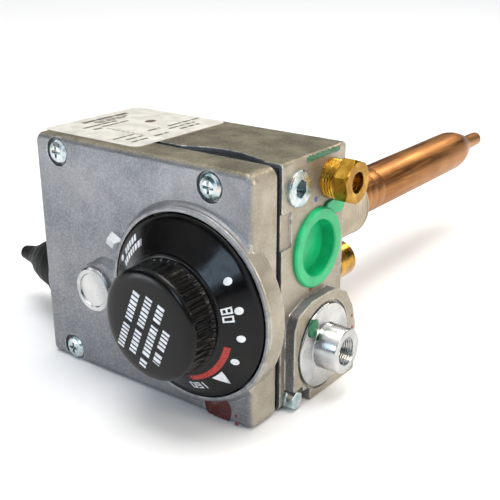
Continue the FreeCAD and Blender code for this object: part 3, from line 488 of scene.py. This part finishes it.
def arrow(angle, foot, length, half, rows=6):
    """An arrowhead on the cone that points outwards. half is half of its width in degrees."""
    quads = []
    for row in range(rows):
        inner, outer = [foot + length * step / rows for step in (row, row + 1)]
        wide, narrow = [half * (1 - step / rows) for step in (row, row + 1)]
        quads += band(inner, outer, (angle - wide, angle + wide), (angle - narrow, angle + narrow), 4)
    return quads


def around(radius, angle, outline):
    """An outline drawn flat about 0, 0 and laid about a point of the cone."""
    return [(radius + v, angle + math.degrees(u / radius)) for u, v in outline]


def dial_text(outlines, radius, angle):
    """Marks drawn flat, laid along an arc of the cone with their feet towards the knob."""
    laid = []
    for outline in outlines:
        laid.append([(radius + v, angle - math.degrees(u / (radius + 1))) for u, v in outline])
    return laid


def dial_skirt():
    back, front = SKIRT_BACK, KNOB_BASE
    rim = [(back, 27.1), (back, 28.0), (back - 0.15, 28.25), (back - 2.2, 28.3), (back - 2.5, 28.22),
           (back - 2.68, 28.02), (back - 2.76, 27.8)]
    slope = [(cone_along(radius), radius) for radius in CONE_RADII]
    crown = [(front + 0.62, 18.68), (front + 0.48, 18.45), (front + 0.4, 18.15), (front + 0.28, 17.95),
             (front + 0.08, 17.85), (front, 17.7), (front, 3), (-50, 3), (-50, 5.2), (-55, 5.2), (-55, 16.4),
             (-49, 25.9)]
    piece("dial_skirt", turned("Y", DIAL, rim + slope + crown, 192), "black_plastic", "knob",
          ["temperature_dial"])


def knob_grip():
    start, end = KNOB_FRONT + 1.9, KNOB_BASE - 0.5

    def flutes(along, radius, turn):
        depth = min(1, max(0, along - start) / 0.8) * min(1, max(0, end - along) / 0.6)
        return radius - depth * 0.5 * (1 - math.cos(FLUTES * turn)) if radius > 16.4 else radius

    profile = [(KNOB_FRONT + depth, radius) for depth, radius in KNOB_FACE]
    profile += [(start + step * (end - start) / 12, 17.0 + 0.25 * step / 12) for step in range(13)]
    profile += [(KNOB_BASE - 0.25, 17.25), (KNOB_BASE, 17.1), (KNOB_BASE, 14.8), (KNOB_FRONT + 2.2, 14.7),
                (KNOB_FRONT + 2.1, 5.2), (KNOB_BASE, 5.2), (KNOB_BASE, 3), (KNOB_FRONT + 5.3, 3),
                (KNOB_FRONT + 5.3, 0)]
    piece("knob_grip", turned("Y", DIAL, profile, 12 * FLUTES, flutes), "black_plastic", "knob",
          ["knob_cap"])


def face_depth(radius):
    """How far the knob's rounded face lies behind its front at a radius."""
    for (near, inner), (far, outer) in zip(KNOB_FACE, KNOB_FACE[1:]):
        if radius < outer:
            return near + (far - near) * (radius - inner) / (outer - inner)
    return KNOB_FACE[-1][0]


def on_knob(along, side, lift):
    """A point on the knob's face, in rows slanted as the printed ones are."""
    x = KNOB_ROWS[0] * along - KNOB_ROWS[1] * side
    z = KNOB_ROWS[1] * along + KNOB_ROWS[0] * side
    depth = face_depth(math.hypot(x, z))
    return Vector((DIAL[0] + x, KNOB_FRONT + depth - lift, DIAL[1] + z)) * MM


def dial_marks():
    """The dots, arrow, numbers, red arc and rows of bars on the dial and the knob."""
    white = [around(23, angle, dot(0, 0, 1.12)) for angle in (37.1, 15.3, -5.7, -26.3)]
    white.append(around(26, 157, dot(0, 0.1, 0.95)))
    white += arrow(-47.4, 21.7, 4.2, 6.6)
    white += dial_text(number("80", 2.8), 18.8, 13.5)
    white += dial_text(number("160", 2.7), 22.2, -73)
    white += dial_text(dashes(-4.2, 4.2, 0, 1.9, (1.0, 1.3), (5, 5), 0.5), 24.6, 141)
    white += dial_text(dashes(-5.6, 5.6, 0, 1.9, (0.9, 1.2), (8, 8), 0.5), 21.9, 141)
    piece("dial_white_marks", stamped(white, on_cone), "white_print", "knob")
    red = band(19.3, 21.0, (-15, -74), (-15, -74), 30)
    piece("dial_red_arc", stamped(red, on_cone), "red_print", "knob")
    rows = []
    for start, end, side in ((-7.9, 12.6, -6.5), (-9.2, 12.6, -1.9), (-9.6, 13.4, 2.75), (-3.5, 8.5, 6.9)):
        rows += dashes(start, end, side - 1.3, side + 1.3, (0.7, 1.2), (4, 8), 0.5)
    piece("knob_white_marks", stamped(rows, on_knob), "white_print", "knob")


# ---- tube, shank and fittings ----

def thread_depth(pitch, depth, along, turn):
    """How far a helical thread's flank lies below its crest."""
    phase = (along / pitch + turn / (2 * math.pi)) % 1
    return depth * abs(2 * phase - 1)


def sensing_tube():
    """The copper sheath, with four shallow rings near its foot and a drawn-down, rounded tip."""
    low, high = span("sensing_tube", "Y")
    shoulder = high - 32.5
    outer = [(low, 7.9), (low, 8.9), (57, 8.9)]
    for spot in (60, 64, 69, 75):
        for offset, radius in ((-0.6, 8.9), (-0.3, 8.83), (0, 8.8), (0.3, 8.83), (0.6, 8.9)):
            outer.append((spot + offset, radius))
    outer += [(shoulder - 2, 8.9), (shoulder, 8.86), (shoulder + 2, 8.66), (shoulder + 4, 8.3),
              (shoulder + 6, 7.85), (shoulder + 8, 7.25), (shoulder + 10, 6.7), (shoulder + 12, 6.0),
              (shoulder + 14, 5.0), (shoulder + 15.5, 4.4), (shoulder + 17.5, 3.8), (shoulder + 19, 3.5),
              (shoulder + 21, 3.4), (high - 2, 3.3), (high - 0.9, 3.15), (high - 0.25, 2.75), (high, 2.2),
              (high, 0)]
    inner = [(shoulder + 8, 0), (shoulder + 8, 5.4), (shoulder + 4, 6.6), (shoulder - 2, 7.9)]
    piece("copper_sheath", turned("Y", TUBE, outer + inner, 160), "copper", "casting", ["sensing_tube"])


def threaded_shank():
    """The tank thread under its lumpy sealant, fading in from a plain collar."""
    low, high = span("tank_shank", "Y")
    start, crest, step = 16, 13.335, 0.36

    def thread(along, radius, turn):
        if radius < 13 or not start < along < high - 1:
            return radius
        lump = 0.05 * math.sin(3 * turn + along * 0.7) * math.sin(along * 0.31)
        fade = min(1, (along - start) / 4)
        return radius - 0.1 + lump - fade * thread_depth(1.814, 0.62, along, turn)

    profile = [(low, 6), (low, 12), (0.2, 12), (0.2, 12.9), (0.6, 13.3), (15, crest)]
    profile += [(start + step * i, crest) for i in range(int((high - start) / step))]
    profile += [(high - 0.6, 12.9), (high, 12.3), (high, 9.0), (high - 22, 9.0), (high - 22, 6)]
    piece("sealed_thread", turned("Y", TUBE, profile, 96, thread), "sealed_shank", "casting",
          ["tank_shank"])


def pilot_neck():
    """The pilot fitting, with its thread between the casting and the nut."""
    wall = SIDE
    end = span("pilot_nut", "X")[0]

    def grooves(along, radius, turn):
        inside = radius > 6 and wall + 0.3 < along < wall + 4.3
        return radius - thread_depth(0.95, 0.42, along, turn) if inside else radius

    profile = [(24, 1.2), (24, 4.8), (wall, 4.8)]
    profile += [(wall + 0.1 * i, 6.2) for i in range(46)]
    profile += [(end - 0.4, 6.2), (end, 5.8), (end, 4.4), (end + 1.4, 4.4), (end + 1.4, 3.3),
                (end - 1.5, 3.3), (end - 2.7, 1.2)]
    piece("pilot_neck", turned("X", across("pilot_fitting", "X"), profile, 96, grooves), "brass",
          "casting", ["pilot_fitting"])


def thermocouple_boss():
    """The magnet plug's disc and boss, with the thread in its bore."""
    low, high = span("magnet_plug", "X")
    face = low + 1.6
    bore, step = 4.2, 0.13

    def thread(along, radius, turn):
        if radius > bore + 0.1 or along < face or along > high - 0.4:
            return radius
        return radius + thread_depth(0.794, 0.42, along, turn)

    profile = [(face - 1.1, 0), (face - 1.1, bore)]
    profile += [(face + step * i, bore) for i in range(int((high - 0.5 - face) / step))]
    profile += [(high - 0.35, 4.25), (high, 4.7), (high, 6.9), (high - 0.12, 7.12), (high - 0.35, 7.28),
                (face + 0.5, 7.3), (face + 0.2, 7.4), (face, 7.7), (face, 13.35), (face - 0.08, 13.55),
                (face - 0.3, 13.7), (low, 13.7), (low, 0)]
    piece("thermocouple_boss", turned("X", across("magnet_plug", "X"), profile, 160, thread),
          "machined_aluminium", "casting", ["magnet_plug"])


# ---- label, and marks on the casting ----

def on_label(along, side, lift):
    return Vector((side, along, LABEL_TOP + lift)) * MM


def on_side(along, height, lift):
    """A point on the right side, following the rounded edge of the roof."""
    rise = min(ROOF_ROUNDING, max(0, height - ROOF + ROOF_ROUNDING))
    edge = SIDE - ROOF_ROUNDING + math.sqrt(ROOF_ROUNDING ** 2 - rise ** 2)
    return Vector((edge + lift, along, height)) * MM


def on_housing(along, height, lift):
    return Vector((HOUSING_FACE + lift, along, height)) * MM


def on_front(x, z, lift):
    return Vector((x, FRONT - lift, z)) * MM


def label_sheet():
    """The label, carried out to the left edge of the roof."""
    low, high = (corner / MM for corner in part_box("rating_label"))
    left, corner = -54.2, 3
    outline = []
    for x, y, start in ((high.x - corner, high.y - corner, 0), (left + corner, high.y - corner, 90),
                        (left + corner, low.y + corner, 180), (high.x - corner, low.y + corner, 270)):
        for step in range(7):
            turn = math.radians(start + 15 * step)
            outline.append((y + corner * math.sin(turn), x + corner * math.cos(turn)))

    def place(along, side, lift):
        return Vector((side, along, LABEL_TOP if lift > 0 else low.z)) * MM

    piece("label_sheet", stamped([outline], place), "label_paper", "casting", ["rating_label"])


def label_print():
    """Rows of plain dashes, a rule and a small oval where the label is printed."""
    rows = []
    for start, end, side, high, letters in (
            (-31, -10.4, -50.4, 2.1, (0.9, 1.5)), (-28, -12.8, -47.4, 1.2, (0.5, 0.9)),
            (-36, -21.2, -44.1, 1.3, (0.5, 0.9)), (-30.7, -18.9, -40.9, 1.1, (0.5, 0.9)),
            (-35.3, -31.5, -40.2, 1.3, (0.6, 0.9)), (-25.8, -20.5, -25, 1.2, (0.5, 0.9)),
            (-17, -1.6, -24.6, 1.2, (0.5, 0.9)), (-41, -31.4, -25.4, 1.1, (0.5, 0.8)),
            (-39, -31.9, -21.8, 1.1, (0.5, 0.8)), (-17.4, -8.1, -18.9, 1.3, (0.5, 0.9)),
            (-29.8, -23.9, -18.5, 1.2, (0.5, 0.9)), (-40, -32.9, -18.5, 1.2, (0.5, 0.9)),
            (-19.5, -7, -21.7, 1.1, (0.5, 0.8)), (-27.5, -15, -45.8, 0.9, (0.4, 0.8))):
        rows += dashes(start, end, side, side + high, letters, (3, 8), 0.24)
    rows += [block(-31.3, -38 + 2.2 * step, 0.3, 1.7) for step in range(8)]
    rows.append([(-15 + 2.1 * u, -33.7 + 1.7 * v) for u, v in dot(0, 0, 1)])
    piece("label_print", stamped(rows, on_label, 0.03), "label_ink")


def green_stripe():
    """A ragged stripe of inspection paint along the top of the right side."""
    stripe = []
    for step in range(24):
        near = -21.4 + 0.75 * step
        low, high = 37.1 + DICE.uniform(0, 0.35), 38.85 + DICE.uniform(-0.3, 0.1)
        for part in range(4):
            base, top = (low + (high - low) * share / 4 for share in (part, part + 1))
            stripe.append(block(near, base, 0.76, top - base))
    piece("green_stripe", stamped(stripe, on_side, 0.05), "green_paint")


def ink_marks():
    """Ragged spots of ink and rust on the right side, the magnet housing and the cover."""
    for name, material, place, thick, spots in (
            ("blue_dot", "blue_ink", on_side, 0.04, [(-16.1, 25, 0.95, 18, 0.25)]),
            ("rust_smear", "rust", on_side, 0.03, [(-17.8, -2.9, 1.2, 18, 0.4), (-16.2, -2.7, 0.9, 16, 0.4)]),
            ("housing_marks", "maroon_ink", on_housing, 0.03, [(2.2, -19, 0.6, 14, 0.3),
                                                               (2.6, -23.6, 0.7, 14, 0.3)]),
            ("maroon_dots", "maroon_ink", on_front, 0.04, [(29.3, -34.2, 0.55, 14, 0.2),
                                                           (29.5, -36.6, 0.75, 14, 0.25)])):
        piece(name, stamped([dot(*spot) for spot in spots], place, thick), material)


def paint_blob():
    """A drop of green paint that locks the thermocouple boss to its housing."""
    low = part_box("magnet_plug")[0]
    heart = middle("magnet_plug")
    centre = Vector((low.x + 0.0018, heart.y - 0.0078, heart.z + 0.0088))
    shape = bmesh.new()
    bmesh.ops.create_icosphere(shape, subdivisions=3, radius=1)
    for corner in shape.verts:
        x, y, z = corner.co
        swell = 1 + 0.16 * math.sin(5 * x + 2) * math.cos(4 * z + y)
        corner.co = centre + Vector((x * 0.0011, y * 0.0026, z * 0.0031)) * swell
    piece("green_blob", shape, "green_paint")


def seal_surface():
    """Lumps in the poured wax, as modifiers on its own node."""
    wax = NODES["seal_wax"]
    remesh = wax.modifiers.new("remesh", "REMESH")
    remesh.mode = "VOXEL"
    remesh.voxel_size = 0.00025
    texture = bpy.data.textures.new("lumps", "CLOUDS")
    texture.noise_scale = 0.0028
    lumps = wax.modifiers.new("lumps", "DISPLACE")
    lumps.texture = texture
    lumps.texture_coords = "LOCAL"
    lumps.strength = 0.0009
    lumps.mid_level = 0.6
    lumps.direction = "Y"


# ---- floor, light and camera ----

def sky():
    """A studio that is dark at eye level and bright overhead, over a pale horizon."""
    world = bpy.data.worlds.new("studio")
    world.use_nodes = True
    nodes, links = world.node_tree.nodes, world.node_tree.links
    split = nodes.new("ShaderNodeSeparateXYZ")
    links.new(nodes.new("ShaderNodeTexCoord").outputs["Generated"], split.inputs[0])
    total = nodes.new("ShaderNodeMath")
    overhead, horizon = (0.35, 0.9, 0.07, 1.15), (0.03, 0.12, 0.95, 0.0)
    for i, limits in enumerate((overhead, horizon)):
        rise = nodes.new("ShaderNodeMapRange")
        for socket, value in zip(("From Min", "From Max", "To Min", "To Max"), limits):
            rise.inputs[socket].default_value = value
        links.new(split.outputs["Z"], rise.inputs["Value"])
        links.new(rise.outputs[0], total.inputs[i])
    background = nodes["Background"]
    background.inputs["Color"].default_value = (0.97, 0.98, 1.0, 1)
    links.new(total.outputs[0], background.inputs["Strength"])
    bpy.context.scene.world = world


def stage_floor():
    """A wide pale floor just under the object."""
    reach, height = 9.0, CAD_BOX[0].z - 0.0002
    mesh = bpy.data.meshes.new("floor")
    corners = [(x * reach, y * reach, height) for x, y in ((-1, -1), (1, -1), (1, 1), (-1, 1))]
    mesh.from_pydata(corners, [], [(0, 1, 2, 3)])
    mesh.materials.append(Finish("floor", (0.84, 0.84, 0.84), 0.0, 0.7).material)
    floor = bpy.data.objects.new("floor", mesh)
    bpy.context.scene.collection.objects.link(floor)


def lamps():
    """Square lights that face the origin, and a soft sun overhead."""
    for name, spot, size, power, colour in (
            ("key", (-0.8, -0.25, 0.6), 0.3, 0.4, (0.84, 0.92, 1.0)),
            ("fill", (-0.2, -0.3, -0.03), 0.1, 0.14, (0.86, 0.93, 1.0)),
            ("top", (0.1, 0.2, 0.9), 0.8, 3.2, (1.0, 0.95, 0.88)),
            ("back", (0.12, 0.8, 0.62), 0.25, 2.0, (1.0, 0.9, 0.75)),
            ("side", (0.8, 0.1, 0.35), 0.3, 3.4, (1.0, 0.88, 0.72)),
            ("window", (0.14, -0.7, 0.32), 0.25, 1.1, (0.60, 0.80, 1.0))):
        light = bpy.data.lights.new(name, "AREA")
        light.size = size
        light.energy = power
        light.color = colour
        lamp = bpy.data.objects.new(name, light)
        lamp.location = spot
        lamp.visible_camera = False
        lamp.rotation_euler = (-Vector(spot)).to_track_quat("-Z", "Y").to_euler()
        bpy.context.scene.collection.objects.link(lamp)
    sun = bpy.data.lights.new("overhead", "SUN")
    sun.energy = 1.35
    sun.angle = 0.6
    bpy.context.scene.collection.objects.link(bpy.data.objects.new("overhead", sun))


def camera():
    """A camera in front of the object, to its right and a little above."""
    forward = Vector((-0.56245, 0.74542, -0.35776)).normalized()
    right = Vector((0.79852, 0.60197, -0.00113)).normalized()
    up = right.cross(forward)
    data = bpy.data.cameras.new("camera")
    data.lens = 61.52
    data.sensor_width = 36
    item = bpy.data.objects.new("camera", data)
    axes = Matrix((right, up, -forward)).transposed().to_4x4()
    item.matrix_world = Matrix.Translation((0.16368, -0.22122, 0.10160)) @ axes
    bpy.context.scene.collection.objects.link(item)
    bpy.context.scene.camera = item


# ---- everything in its place ----

for make in (cast_aluminium, machined_aluminium, gloss_black, zinc_steel, copper, brass, plain_finishes,
             print_finishes):
    make()
dress_nodes()
dial_skirt()
knob_grip()
dial_marks()
sensing_tube()
threaded_shank()
pilot_neck()
thermocouple_boss()
label_sheet()
label_print()
green_stripe()
ink_marks()
paint_blob()
seal_surface()
stage_floor()
sky()
lamps()
camera()
bpy.context.scene.view_settings.view_transform = "Standard"
